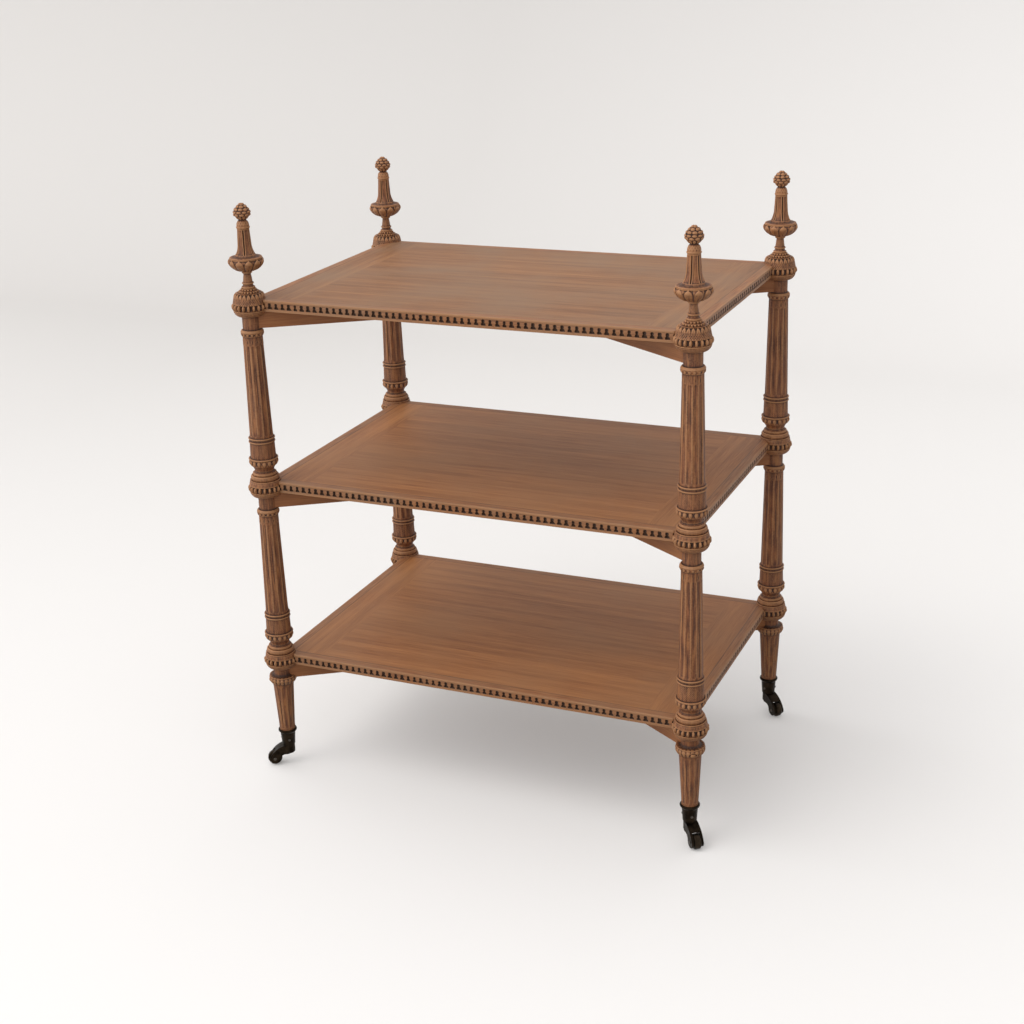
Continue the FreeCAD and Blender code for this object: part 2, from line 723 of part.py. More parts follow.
def screw_body(name, radius, head_radius, head_tall, long):
    """Wood screw, driven along +Z: its domed head below the seat, its shank above."""
    return turned_body(name, ("0", "-" + head_tall), [
        (head_tall, head_radius, QUARTER_ROUND_SHARE),
        ("0", radius, None),
        ("%s - %s" % (long, radius), radius, None),
        (radius, "0", None),
    ])


def moulding_body(name, plane, reach, long):
    """Edge moulding: a fillet, a bead standing in its groove, and a rounded lip, in one strip."""
    inner = "%s - moulding_wide" % reach
    fillet_out = "%s - edge_fillet_inset" % reach
    bead_seat = "%s - edge_bead_inset - edge_bead_bulge" % reach
    lip_out = "%s - lip_bulge" % reach
    body = doc.addObject("PartDesign::Body", name)
    section = outline_sketch(body, name + "_section", plane, (inner, "0"), [
        ("0", fillet_out, None),
        ("shelf_thick - lip_tall - edge_bead_tall", fillet_out, None),
        ("0", bead_seat, None),
        ("edge_bead_tall", bead_seat, "edge_bead_bulge / edge_bead_tall"),
        ("0", lip_out, None),
        ("lip_tall", lip_out, "lip_bulge / lip_tall"),
        ("0", inner, None),
    ])
    pad = body.newObject("PartDesign::Pad", name + "_pad")
    pad.Profile = section
    pad.SideType = "Symmetric"
    bind(pad, Length=long)
    return body


def block(name, long, wide, tall, across="0", level="0"):
    """Rectangular block, centred on Y, with its middle at a distance along X."""
    box = doc.addObject("Part::Box", name)
    bind(box, Length=long, Width=wide, Height=tall)
    place(box, "%s - (%s) / 2" % (across, long), "-(%s) / 2" % wide, level)
    return box


def rod(name, radius, tall, across="0", depth="0", level="0"):
    """Upright round rod."""
    cylinder = doc.addObject("Part::Cylinder", name)
    bind(cylinder, Radius=radius, Height=tall)
    place(cylinder, across, depth, level)
    return cylinder


def group(name, items):
    """Several separate solids as one object."""
    compound = doc.addObject("Part::Compound", name)
    compound.Links = items
    return compound


def cut_away(name, base, tool):
    """What is left of a piece when another is cut out of it."""
    remainder = doc.addObject("Part::Cut", name)
    remainder.Base = base
    remainder.Tool = tool
    cuts.append(remainder)
    return remainder


def turned_copy(name, item, turn):
    """The same object turned about +Z."""
    compound = group(name, [item])
    place(compound, turn=turn)
    return compound


# Posts
leg = leg_body()
lower_column = column_body("lower_column", LOWER_RISE, STEPPED_RINGS + socket("spigot_radius"))
upper_column = column_body("upper_column", UPPER_RISE, bell_crown())
finial = finial_body()
POST_PIECES = {
    "leg": (leg, "0"),
    "lower_column": (lower_column, "bottom_shelf_level + " + WAIST_OVER_SHELF),
    "upper_column": (upper_column, "middle_shelf_level + " + WAIST_OVER_SHELF),
    "finial": (finial, FINIAL_LEVEL),
}
for kind, (master, level) in POST_PIECES.items():
    for corner in CORNERS:
        place_at_corner(copy_of(master, "%s_%s" % (kind, corner)), corner, level, corner_turn(corner))

# Castors
cup = cup_body()
CASTOR_PIECES = {"castor_horn": horn_body(), "castor_axle": axle_body(), "castor_wheel": wheel_body()}
cup_screw = screw_body("cup_screw", "cup_screw_radius", "cup_screw_head_radius", "cup_screw_head_tall",
                       "cup_screw_bite")
CUP_SCREW_SEAT = "cup_foot_radius + (cup_waist_radius - cup_foot_radius) * (%s) / cup_body_tall" % (
    "cup_screw_rise + cup_screw_head_radius")
lying_screw = group("lying_cup_screw", [cup_screw])
place(lying_screw, CUP_SCREW_SEAT, level=CUP_LEVEL + " + cup_screw_rise")
lying_screw.Placement.Rotation = FreeCAD.Rotation(SKETCH_UP, -90)
cup_screws = []
for corner, heading in CASTOR_HEADINGS.items():
    place_at_corner(copy_of(cup, "castor_cup_" + corner), corner, CUP_LEVEL, corner_turn(corner))
    for kind, master in CASTOR_PIECES.items():
        place_at_corner(copy_of(master, "%s_%s" % (kind, corner)), corner, turn=heading)
    count = int(size_of("cup_screw_count"))
    for index in range(count):
        screw = group("cup_screw_%s_%d" % (corner, index + 1), [lying_screw])
        turn = corner_turn(corner) + 180 + CUP_SCREW_TURN + 360 * index / count
        place_at_corner(screw, corner, turn=turn)
        cup_screws.append(screw)
finished.append(group("castor_cup_screws", cup_screws))

# Shelves: a centre panel between two end boards, framed by four mouldings, clipped at the corners
panel_reach = "%s - moulding_wide - end_board_wide" % SHELF_LONG_REACH
depth_reach = "%s - moulding_wide" % SHELF_SHORT_REACH
clips = []
for corner in CORNERS:
    clip = group("clip_" + corner, [block(
        "clip_block_" + corner, "2 * corner_clip_reach", "2 * (collar_bead_radius + overrun)",
        "shelf_thick + 2 * overrun", level="-overrun")])
    place_at_corner(clip, corner, turn=corner_turn(corner))
    clips.append(clip)
corner_clips = group("corner_clips", clips)

SCREW_PLACES = [(turn, side) for turn in (RAIL_TURN, -RAIL_TURN) for side in (-1, 1)]


def screw_hole(name, radius, tall, level, turn, side):
    """Upright hole for a shelf screw, out along one rail."""
    upright = rod(name + "_rod", radius, tall, "%d * rail_screw_place" % side, level=level)
    return turned_copy(name, upright, turn)


pilot_holes = group("pilot_holes", [
    screw_hole("pilot_hole_%d" % (index + 1), "shelf_screw_radius + running_play",
               "shelf_screw_bite + seat_play + overrun", "-overrun", turn, side)
    for index, (turn, side) in enumerate(SCREW_PLACES)])
panel = cut_away("shelf_panel", block("panel_board", "2 * (%s)" % panel_reach, "2 * (%s)" % depth_reach,
                                      "shelf_thick"), pilot_holes)
end_boards = group("end_boards", [
    block("end_board_%s" % name, "end_board_wide", "2 * (%s)" % depth_reach, "shelf_thick",
          "%d * (%s + end_board_wide / 2)" % (side, panel_reach))
    for name, side in (("left", -1), ("right", 1))])
back_moulding = cut_away("moulding_back", moulding_body(
    "back_strip", "YZ_Plane", SHELF_SHORT_REACH, "2 * %s" % SHELF_LONG_REACH), corner_clips)
right_moulding = cut_away("moulding_right", moulding_body(
    "right_strip", "XZ_Plane", SHELF_LONG_REACH, "2 * (%s)" % depth_reach), corner_clips)
SHELF_PIECES = {
    "shelf_panel": (panel, 0),
    "shelf_ends": (end_boards, 0),
    "moulding_back": (back_moulding, 0),
    "moulding_front": (back_moulding, 180),
    "moulding_right": (right_moulding, 0),
    "moulding_left": (right_moulding, 180),
}

# Rails: one from each pair of opposite posts, halved into each other where they cross


def rail(name, turn, lap_level):
    """Rail along X with its lap and screw holes cut, its top against the shelf."""
    board = block(name + "_board", RAIL_LONG, "rail_thick", "rail_deep", level="-rail_deep")
    crossing_rail = block(name + "_lap_block", RAIL_LONG, "rail_thick + 2 * seat_play",
                          "(rail_deep + seat_play) / 2 + overrun", level=lap_level)
    holes = [turned_copy(name + "_lap", crossing_rail, turn)]
    for side in (-1, 1):
        place_out = "%d * rail_screw_place" % side
        holes.append(rod("%s_hole_%d" % (name, side + 2), "shelf_screw_radius + running_play",
                         "rail_deep + 2 * overrun", place_out, level="-rail_deep - overrun"))
        holes.append(rod("%s_counterbore_%d" % (name, side + 2), "shelf_screw_head_radius + seat_play",
                         "shelf_screw_sink + overrun", place_out, level="-rail_deep - overrun"))
    remainder = board
    for index, hole in enumerate(holes):
        remainder = cut_away("%s_cut_%d" % (name, index + 1), remainder, hole)
    return remainder


RAILS = {
    "rail_rising": (rail("rail_rising", -2 * RAIL_TURN, "-(rail_deep + seat_play) / 2"), RAIL_TURN),
    "rail_falling": (rail("rail_falling", 2 * RAIL_TURN, "-rail_deep - overrun"), -RAIL_TURN),
}
shelf_screw = screw_body("shelf_screw", "shelf_screw_radius", "shelf_screw_head_radius",
                         "shelf_screw_head_tall", "rail_deep - shelf_screw_sink + shelf_screw_bite")
place(shelf_screw, level="-rail_deep + shelf_screw_sink")
shelf_screws = []
for tier, level in TIERS.items():
    for kind, (master, turn) in {**SHELF_PIECES, **RAILS}.items():
        place(copy_of(master, "%s_%s" % (kind, tier)), level=level, turn=turn)
    for index, (turn, side) in enumerate(SCREW_PLACES):
        out = group("shelf_screw_out_%s_%d" % (tier, index + 1), [shelf_screw])
        place(out, "%d * rail_screw_place" % side)
        screw = group("shelf_screw_%s_%d" % (tier, index + 1), [out])
        place(screw, level=level, turn=turn)
        shelf_screws.append(screw)
finished.append(group("shelf_screws", shelf_screws))

doc.recompute()

for item in doc.Objects:
    if "Invalid" in item.State or "Error" in item.State:
        raise RuntimeError("%s: %s" % (item.Label, item.State))
for feature in cuts:
    base = feature.Base if hasattr(feature, "Tool") else feature.BaseFeature
    if feature.Shape.Volume >= base.Shape.Volume:
        raise RuntimeError("%s cuts nothing" % feature.Label)
for piece in finished:
    if piece.Shape.isNull() or not piece.Shape.isValid():
        raise RuntimeError("%s has no valid shape" % piece.Label)

os.makedirs("parts", exist_ok=True)
for piece in finished:
    piece.Shape.exportStep("parts/%s.step" % piece.Label)
print("%d pieces written" % len(finished))
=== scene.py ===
import math
import bpy
import numpy as np
from mathutils import Matrix, Vector


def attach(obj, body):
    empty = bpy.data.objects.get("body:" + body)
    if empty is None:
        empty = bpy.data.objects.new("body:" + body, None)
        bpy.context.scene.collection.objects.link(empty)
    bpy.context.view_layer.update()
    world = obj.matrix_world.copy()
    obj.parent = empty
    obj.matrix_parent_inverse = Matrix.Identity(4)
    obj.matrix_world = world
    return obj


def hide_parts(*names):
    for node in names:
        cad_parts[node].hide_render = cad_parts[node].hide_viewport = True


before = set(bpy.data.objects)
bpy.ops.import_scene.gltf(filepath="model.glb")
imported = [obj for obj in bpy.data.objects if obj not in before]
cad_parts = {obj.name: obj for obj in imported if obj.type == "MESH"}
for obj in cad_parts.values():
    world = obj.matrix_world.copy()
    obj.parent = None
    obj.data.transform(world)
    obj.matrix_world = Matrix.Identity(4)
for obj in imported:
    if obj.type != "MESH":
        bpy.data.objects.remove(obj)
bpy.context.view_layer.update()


# Castors. Each post ends in a cast cup, screwed round its tenon, over a horn of two curved
# cheeks that swivels on a kingpin and carries one small wheel. All are cast iron, japanned
# black long ago and since rubbed brown in patches; the axles and screws are plain steel.
MM = 0.001


def linear(hex_colour):
    """An sRGB hex colour as the linear values that a shader takes."""
    shares = [int(hex_colour[place:place + 2], 16) / 255 for place in (1, 3, 5)]
    return [s / 12.92 if s <= 0.04045 else ((s + 0.055) / 1.055) ** 2.4 for s in shares] + [1.0]


def add(tree, kind, stops=None, inputs=None, **settings):
    """One node: its settings, the values or links of its inputs, and a ramp's stops if any."""
    node = tree.nodes.new("ShaderNode" + kind)
    for setting, value in settings.items():
        setattr(node, setting, value)
    for socket, value in (inputs or {}).items():
        if isinstance(value, bpy.types.NodeSocket):
            tree.links.new(value, node.inputs[socket])
        else:
            node.inputs[socket].default_value = value
    if stops:
        ramp = node.color_ramp
        while len(ramp.elements) < len(stops):
            ramp.elements.new(0.5)
        for element, (place, colour) in zip(ramp.elements, stops):
            element.position = place
            is_hex = isinstance(colour, str)
            element.color = linear(colour) if is_hex else (colour, colour, colour, 1)
    return node


def new_material(name, **shader):
    """A material, its node tree and its shader, which is wired to the output."""
    material = bpy.data.materials.new(name)
    material.use_nodes = True
    material.node_tree.nodes.clear()
    face = add(material.node_tree, "BsdfPrincipled", inputs=shader)
    add(material.node_tree, "OutputMaterial", inputs={"Surface": face.outputs["BSDF"]})
    return material, material.node_tree, face


def link_finish(tree, face, colour, grain, strength, deep):
    """Wire a finish's colour to its shader, and its grain as a relief of `deep` mm."""
    relief = add(tree, "Bump", inputs={"Height": grain, "Strength": strength,
                                       "Distance": deep * MM})
    tree.links.new(colour, face.inputs["Base Color"])
    tree.links.new(relief.outputs[0], face.inputs["Normal"])


def give(material, *starts):
    """Put the material on each CAD piece whose name begins so."""
    for name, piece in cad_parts.items():
        if name.startswith(starts):
            piece.data.materials.clear()
            piece.data.materials.append(material)


def black_iron(name, dark, worn, gloss):
    """Old cast iron: a dark skin with a sand-cast grain about 1 mm across.

    Patches about 11 mm across are browner and duller, where it was handled."""
    material, tree, face = new_material(name, Metallic=1.0, Roughness=gloss)
    where = add(tree, "TexCoord").outputs["Object"]
    grain = add(tree, "TexNoise", inputs={"Vector": where, "Scale": 900.0, "Detail": 4.0})
    patches = add(tree, "TexNoise", inputs={"Vector": where, "Scale": 90.0, "Detail": 5.0})
    skin = add(tree, "ValToRGB", stops=[(0.35, dark), (0.72, worn)],
               inputs={0: patches.outputs[0]})
    sheen = add(tree, "ValToRGB", stops=[(0.3, gloss - 0.12), (0.7, gloss + 0.15)],
                inputs={0: patches.outputs[0]})
    tree.links.new(sheen.outputs[0], face.inputs["Roughness"])
    link_finish(tree, face, skin.outputs[0], grain.outputs[0], 0.35, 0.3)
    return material


give(black_iron("japanned_cast_iron", "#16110C", "#342A20", 0.42),
     "castor_cup_front", "castor_cup_back", "castor_horn")
give(black_iron("bare_cast_iron_wheel", "#1D1711", "#42372C", 0.4), "castor_wheel")

# Drawn steel, dulled by age: grey-brown tones in spots 1.4 mm across
dull_steel, tree, face = new_material("dull_steel", Metallic=1.0, Roughness=0.45)
where = add(tree, "TexCoord").outputs["Object"]
spots = add(tree, "TexNoise", inputs={"Vector": where, "Scale": 700.0, "Detail": 3.0})
tone = add(tree, "ValToRGB", stops=[(0.3, "#3B3733"), (0.75, "#6E675F")],
           inputs={0: spots.outputs[0]})
tree.links.new(tone.outputs[0], face.inputs["Base Color"])
give(dull_steel, "castor_axle", "castor_cup_screws", "shelf_screws")


# Legs. Each is one turning of a close brown hardwood: a fluted taper into the castor cup, a
# gadrooned ring, a thin neck, the bottom collar with its row of carved beads, and stepped
# rings. The wood was limed and waxed, so it is greyed on its high places; its cuts are dark
# with dirt and painted shade.
CORNERS = {"front_left": (-1, -1), "front_right": (1, -1),
           "back_right": (1, 1), "back_left": (-1, 1)}
HALF_LONG, HALF_SHORT = 429.0, 277.0             # mm from the stand's middle to its posts
QUARTER_TURN = math.pi / 2
WORN_EDGE = 0.4                                  # mm over which an arris is worn round
LEAST_STEP = 0.001                               # mm between two rows of an outline
LEAST_RADIUS = 3.0                               # mm that a radius counts as, near a tip
# Reaches for judging how hollow a point is: hollowness lays dirt and painted shade in the cuts
DIRT_AND_SHADE_REACHES = ((1.4, 0.6), (4.5, 0.08))         # mm around a point, and its weight
# Roundness of a cut: how far it swells off its chord, as a share of the chord's length
HALF_ROUND, SWELL, HOLLOW, FAINT_HOLLOW = 0.5, 0.13, -0.16, -0.08
COLUMNS = 216                                    # points round each turning
around = np.linspace(0, 2 * np.pi, COLUMNS, endpoint=False)[None, :]


def one_cut(start, end, roundness, rows, worn, is_first):
    """The rows of one cut of an outline, from one point to the next.

    Gives the cut's length, and for each row: its share of the length, its place on the chord,
    its rise off the chord, and the ways out, square to the chord and to the curve."""
    run = end - start
    long = float(np.hypot(*run))
    way = run / long
    out = np.array([way[1], -way[0]])
    edge = min(worn / long, 0.2)
    up = np.unique(np.concatenate([np.linspace(0, 1, rows + 1), [edge, 1 - edge]]))
    up = up[0 if is_first else 1:]
    chord_out = np.repeat(out[None, :], len(up), 0)
    if not roundness:
        return long, up, start + up[:, None] * run, np.zeros_like(up), chord_out, chord_out
    bend = math.copysign(1, roundness)
    half_turn = 2 * math.atan(2 * abs(roundness))
    arc = long / (2 * math.sin(half_turn))
    lean = half_turn * (2 * up - 1)
    up = 0.5 + arc * np.sin(lean) / long
    rise = bend * arc * (np.cos(lean) - math.cos(half_turn))
    curve_out = bend * np.sin(lean)[:, None] * way + np.cos(lean)[:, None] * out
    return long, up, start + up[:, None] * run, rise, chord_out, curve_out


def length_run(outline):
    """The length run along an outline at each of its points, in mm."""
    steps = np.maximum(np.hypot(*np.diff(outline, axis=0).T), LEAST_STEP)
    return np.concatenate([[0], np.cumsum(steps)])


def soften(field, along, spacing, reach):
    """The field averaged over about `reach` mm, along the outline and across it."""
    away = (along[:, None] - along[None, :]) / reach
    weight = np.exp(-away ** 2 / 2) * np.gradient(along)[None, :]
    weight /= weight.sum(1, keepdims=True)
    waves = np.fft.rfftfreq(field.shape[1]) / spacing
    fade = np.exp(-2 * (np.pi * waves * reach) ** 2)
    return weight @ np.fft.irfft(np.fft.rfft(field, axis=1) * fade, field.shape[1], axis=1)


def hollowness(fields, ways_out, along, spacing):
    """How far each point lies below the surface around it: 0 proud, a half flat, 1 in a cut."""
    depth = 0
    for reach, weight in DIRT_AND_SHADE_REACHES:
        lower = sum((soften(field, along, spacing, reach) - field) * way
                    for field, way in zip(fields, ways_out))
        depth = depth + lower * weight
    return np.clip(0.5 + depth, 0, 1)


def carved_mesh(name, points, hollow):
    """A closed grid of points in mm as a solid mesh in metres, capped at both ends."""
    rows, across = points.shape[:2]
    index = np.arange(rows * across).reshape(rows, across)
    index = np.concatenate([index, index[:, :1]], axis=1)
    quads = np.stack([index[:-1, :-1], index[:-1, 1:], index[1:, 1:], index[1:, :-1]], axis=-1)
    ends = [list(range(across))[::-1], list(range((rows - 1) * across, rows * across))]
    mesh = bpy.data.meshes.new(name)
    mesh.from_pydata((points.reshape(-1, 3) * MM).tolist(), [],
                     quads.reshape(-1, 4).tolist() + ends)
    mesh.shade_smooth()
    mesh.attributes.new("hollow", "FLOAT", "POINT").data.foreach_set("value", hollow.reshape(-1))
    return mesh


def plain(up, tall):
    """No carving."""
    return 1, 0, 0


def turned(name, level, radius, cuts):
    """A turning, from its foot up. Each cut: rise, new radius, roundness, rows, carving.

    A carving takes each row's share of its cut's length, and that length in mm. It gives, all
    round the turning, the share of the roundness that is kept, the mm cut away square to the
    chord, and the mm cut away square to the curve."""
    parts = []
    for rise, new_radius, roundness, rows, carving in cuts:
        start, end = np.array([radius, level]), np.array([new_radius, level + rise])
        long, up, points, swell, chord_out, curve_out = one_cut(
            start, end, roundness, rows, WORN_EDGE, not parts)
        grids = [np.broadcast_to(grid, (len(up), COLUMNS))
                 for grid in (swell[:, None], *carving(up[:, None], long))]
        parts.append([points, chord_out, curve_out] + grids)
        radius, level = new_radius, level + rise
    line, chord, curve, swell, keep, dig, scoop = (np.concatenate(part) for part in zip(*parts))
    lift = swell * keep - dig
    out_at = line[:, :1] + chord[:, :1] * lift - curve[:, :1] * scoop
    level_at = line[:, 1:] + chord[:, 1:] * lift - curve[:, 1:] * scoop
    fields = (out_at * np.cos(around), out_at * np.sin(around), level_at)
    ways_out = (curve[:, :1] * np.cos(around), curve[:, :1] * np.sin(around), curve[:, 1:])
    spacing = 2 * np.pi * np.maximum(line[:, :1], LEAST_RADIUS) / COLUMNS
    hollow = hollowness(fields, ways_out, length_run(line + chord * swell[:, :1]), spacing)
    return carved_mesh(name, np.stack(np.broadcast_arrays(*fields), axis=-1), hollow)


def step(low, high, value):
    """A smooth rise from 0 to 1 between two values."""
    share = np.clip((value - low) / (high - low), 0, 1)
    return share * share * (3 - 2 * share)


def fair_share(count, offset=0.0):
    """Place across each of `count` like things round the turning, from -1/2 to 1/2."""
    return (around * count / (2 * np.pi) + offset) % 1 - 0.5


def nearest(count, offset=0.0):
    """Which of the cuts between `count` like things is nearest, all round the turning."""
    return np.round(around * count / (2 * np.pi) + offset).astype(int) % count


def unlike(count, least, seed, offset=0.0):
    """A share from `least` to 1 for each of those cuts, as no two cuts by hand are alike."""
    return np.random.default_rng(seed).uniform(least, 1, count)[nearest(count, offset)]


def beads(count, wide, hole, seed):
    """A row of round beads, each `wide` of its share across, with pits drilled between them."""
    left_between = 0.12         # share of the roundness that is left between two beads

    def carving(up, tall):
        across = fair_share(count)
        room = np.clip(1 - (2 * up - 1) ** 2, 0.02, 1)
        face = np.clip(1 - (across * 2 / wide) ** 2 / room ** 0.7, 0, 1) ** 0.5
        pit = np.exp(-((np.abs(across) - 0.5) / 0.2) ** 2) * room
        kept = left_between + (1 - left_between) * face
        return kept, hole * pit * unlike(count, 0.15, seed), 0
    return carving


def drops(count, wide, hole, lip, seed):
    """Beads under a plain lip, or filling the cut if `lip` is over 1: each runs down to a tip."""
    def carving(up, tall):
        rim = step(lip - 0.03, lip + 0.03, up)
        place = np.clip((up - 0.08) / (lip - 0.12), 0, 1)
        half_across = wide / 2 * np.sqrt(np.sin(np.pi * place ** 1.35)) + 0.015
        face = np.clip(1 - (fair_share(count) / half_across) ** 2, 0, 1) ** 0.5
        floor = np.sin(np.pi * place ** 1.2) ** 0.7
        depth = hole * (1 - face) * floor * unlike(count, 0.45, seed)
        groove = 0.8 * np.exp(-((up - lip + 0.02) / 0.045) ** 2)
        return 1, depth * (1 - rim) + groove, 0
    return carving


def flutes(count, wide, deep, low, high, radius, new_radius, seed, streak, drilled=0.0):
    """Shallow flutes with round ends, `wide` of their share across, plain for `low` and `high` mm.

    Down each runs a fine crack up to `streak` mm deep, off its middle and of its own length.
    A hole is drilled `drilled` mm above the head of each, if that isn't 0."""
    rng = np.random.default_rng(seed)
    order = nearest(count)
    crack_deep, crack_low = rng.uniform(0, 1, count)[order], rng.uniform(0, 0.6, count)[order]
    crack_high, crack_side = rng.uniform(0.4, 1, count)[order], rng.uniform(-2.2, 2.2, count)[order]
    crack_half, hole_half, hole_deep = 0.7, 1.3, 1.8        # mm

    def carving(up, tall):
        at = up * tall
        pitch = 2 * np.pi * (radius + (new_radius - radius) * up) / count
        half = wide * pitch / 2
        x = fair_share(count, 0.5) * pitch
        foot = np.clip(low + half - at, 0, None)
        head = np.clip(at - (tall - high - half), 0, None)
        room = 1 - (x ** 2 + foot ** 2 + head ** 2) / half ** 2
        begun = step(crack_low - 0.05, crack_low + 0.05, up)
        ended = step(crack_high - 0.05, crack_high + 0.05, up)
        crack = np.exp(-((x - crack_side) / crack_half) ** 2) * begun * (1 - ended)
        cut_in = deep * np.clip(room, 0, 1) + streak * crack_deep * crack * step(0.0, 0.25, room)
        if drilled:
            above = (at - (tall - high + drilled)) / (2 + 4 * crack_deep)
            spot = np.clip(1 - (x / hole_half) ** 2 - above ** 2, 0, 1) ** 0.5
            cut_in = cut_in + hole_deep * crack_deep * spot
        return 1, cut_in, 0
    return carving


def scored(*places):
    """Lines scored round the turning, 0.6 mm deep, at shares of the cut's length."""
    def carving(up, tall):
        return 1, sum(0.6 * np.exp(-((up - place) * tall / 0.55) ** 2) for place in places), 0
    return carving


def gadroons(count, deep):
    """Fat upright lobes round a swelling ring, with sharp cuts between them."""
    def carving(up, tall):
        valley = (2 * np.abs(fair_share(count))) ** 2.6
        return 1, deep * valley * np.sin(np.pi * np.clip(up, 0.04, 0.96)) ** 0.5, 0
    return carving


def rosette(carving, angle, middle, radius):
    """The carving with a domed boss in it, 10 mm across, with a groove round it.

    Its middle stands at an angle in degrees and a height in mm up the cut."""
    def with_boss(up, tall):
        held, cut_in, scooped = carving(up, tall)
        across = (around - math.radians(angle) + np.pi) % (2 * np.pi) - np.pi
        away = np.hypot(across * radius, up * tall - middle)
        dome = 2.2 * np.clip(away / 5.2, 0, 1) ** 2 - 1.4
        groove = 1.9 * np.exp(-((away - 6.1) / 0.9) ** 2)
        near = 1 - step(6.8, 7.6, away)
        return held, cut_in * (1 - near) + (dome + groove) * near, scooped
    return with_boss


def leaves(count, deep):
    """A row of upright leaves with pointed tips, and a deep notch between each two."""
    def carving(up, tall):
        across = np.abs(fair_share(count))
        edge = 0.47 * np.clip(1 - up ** 1.6, 0, 1) ** 0.7
        notch = step(-0.05, 0.07, across - edge)
        rib = 0.5 * np.exp(-(across / 0.06) ** 2) * step(0.1, 0.3, up) * (1 - step(0.6, 0.8, up))
        return 1, deep * notch + rib, 0
    return carving


def punched(count, rows, deep):
    """Rows of small punched pits, each row set half a place on from the one below."""
    def carving(up, tall):
        row = np.floor(up * rows)
        x = (fair_share(count) + 0.5 + 0.5 * (row % 2)) % 1 - 0.5
        y = up * rows - row - 0.5
        return 1, deep * np.clip(1 - (x / 0.3) ** 2 - (y / 0.36) ** 2, 0, 1) ** 0.5, 0
    return carving


COLLAR = [
    (0, 24, 0, 3, plain), (11.5, 31.6, SWELL, 20, scored(0.35, 0.58, 0.8)),
    (0, 28.5, 0, 3, plain), (12, 28.5, HALF_ROUND, 22, beads(20, 0.58, 2.8, 3)),
    (0, 31.4, 0, 3, plain), (10.5, 29.2, 0, 12, scored(0.82)),
]
STEPPED_RINGS = [
    (0, 25.2, 0, 4, plain), (9.5, 25.2, 2.2 / 9.5, 20, scored(0.25, 0.48, 0.72)),
    (0, 21.6, 0, 3, plain), (5.5, 21.6, 1.8 / 5.5, 12, scored(0.35, 0.7)),
    (3.5, 18.2, HOLLOW, 5, plain),
]
ROSETTE_ANGLE = 209         # degrees round the leg, to face out from the stand's corner
leg_mesh = turned("leg", 50.5, 9, [
    (0, 11.4, 0, 1, plain), (17.8, 13.1, 0, 3, plain), (5, 15.6, 0, 2, plain),
    (6, 15.6, 0, 2, plain), (106.2, 21, 0, 70, flutes(12, 0.86, 0.6, 5, 5, 15.6, 21, 5, 2.0)),
    (0, 22.5, 0, 2, plain),
    (8.4, 27.6, SWELL, 14, rosette(gadroons(20, 2.6), ROSETTE_ANGLE, 5.3, 25)),
    (5.6, 25.9, SWELL, 9, rosette(gadroons(20, 1.6), ROSETTE_ANGLE, -4.5, 27)),
    (0, 26.4, 0, 1, plain), (2, 26.4, 0, 2, plain), (0, 21, 0, 5, gadroons(20, 0.8)),
    (4.5, 17, HOLLOW, 5, plain), (13.5, 17, 0, 6, plain),
] + COLLAR + STEPPED_RINGS)


def own_place(tree, spread):
    """Coordinates on a piece, moved on by where it stands, so no two pieces share a pattern."""
    stands = add(tree, "ObjectInfo").outputs["Location"]
    moved = add(tree, "VectorMath", operation="SCALE", inputs={0: stands, "Scale": spread})
    where = add(tree, "TexCoord").outputs["Object"]
    return add(tree, "VectorMath", operation="ADD",
               inputs={0: where, 1: moved.outputs[0]}).outputs[0]


def drawn_grain(tree, where, per_metre, **noise):
    """A noise drawn out along the grain, with so many marks to a metre each way."""
    drawn = add(tree, "Mapping", inputs={"Vector": where, "Scale": per_metre})
    return add(tree, "TexNoise",
               inputs={"Vector": drawn.outputs[0], "Scale": 1.0, **noise}).outputs[0]


def coat(tree, below, colour, pattern, stops):
    """A colour over what lies below it, as dense as the stops say at each value of a pattern."""
    dense = add(tree, "ValToRGB", stops=stops, inputs={0: pattern})
    return add(tree, "Mix", data_type="RGBA",
               inputs={0: dense.outputs[0], 6: below, 7: linear(colour)}).outputs[2]


def turned_wood(name, dark, middle, light, grey):
    """Limed hardwood in the round: fine upright grain, greyed patches, warm and dark streaks.

    It is pale where hands rub it, and dirt and painted shade lie in its cuts. The grain's
    coarsest marks are 1.8 mm by 45 mm, the streaks 4 mm wide, and the patches 30 mm wide and
    drawn up the grain."""
    material, tree, face = new_material(name, Roughness=0.62)
    where = own_place(tree, 9.0)
    fibre = drawn_grain(tree, where, (560, 560, 22), Detail=5.0, Roughness=0.6)
    tone = drawn_grain(tree, where, (34, 34, 13), Detail=5.0)
    streak = drawn_grain(tree, where, (230, 230, 24), Detail=3.0)
    speck = add(tree, "TexNoise", inputs={"Vector": where, "Scale": 330.0, "Detail": 3.0})
    hollow = add(tree, "Attribute", attribute_name="hollow").outputs["Fac"]
    uneven = add(tree, "Math", operation="MULTIPLY_ADD",
                 inputs={0: speck.outputs[0], 1: 0.3, 2: hollow}).outputs[0]
    wood = add(tree, "ValToRGB", stops=[(0.3, dark), (0.5, middle), (0.72, light)],
               inputs={0: fibre})
    limed = coat(tree, wood.outputs[0], grey, tone, [(0.48, 0.0), (0.68, 0.6)])
    browned = coat(tree, limed, "#4A2712", tone, [(0.34, 0.45), (0.5, 0.0)])
    warmed = coat(tree, browned, "#A46C3E", streak, [(0.5, 0.0), (0.68, 0.75)])
    streaked = coat(tree, warmed, "#45230F", streak, [(0.33, 0.8), (0.47, 0.0)])
    rubbed = coat(tree, streaked, "#AC7A50", uneven, [(0.38, 0.85), (0.6, 0.0)])
    # Dirt and painted shade, dark brown, laid in the cuts where the turning is hollow
    soiled_and_shaded = coat(tree, rubbed, "#321A0D", uneven, [(0.64, 0.0), (0.84, 0.94)])
    link_finish(tree, face, soiled_and_shaded, fibre, 0.5, 0.35)
    return material


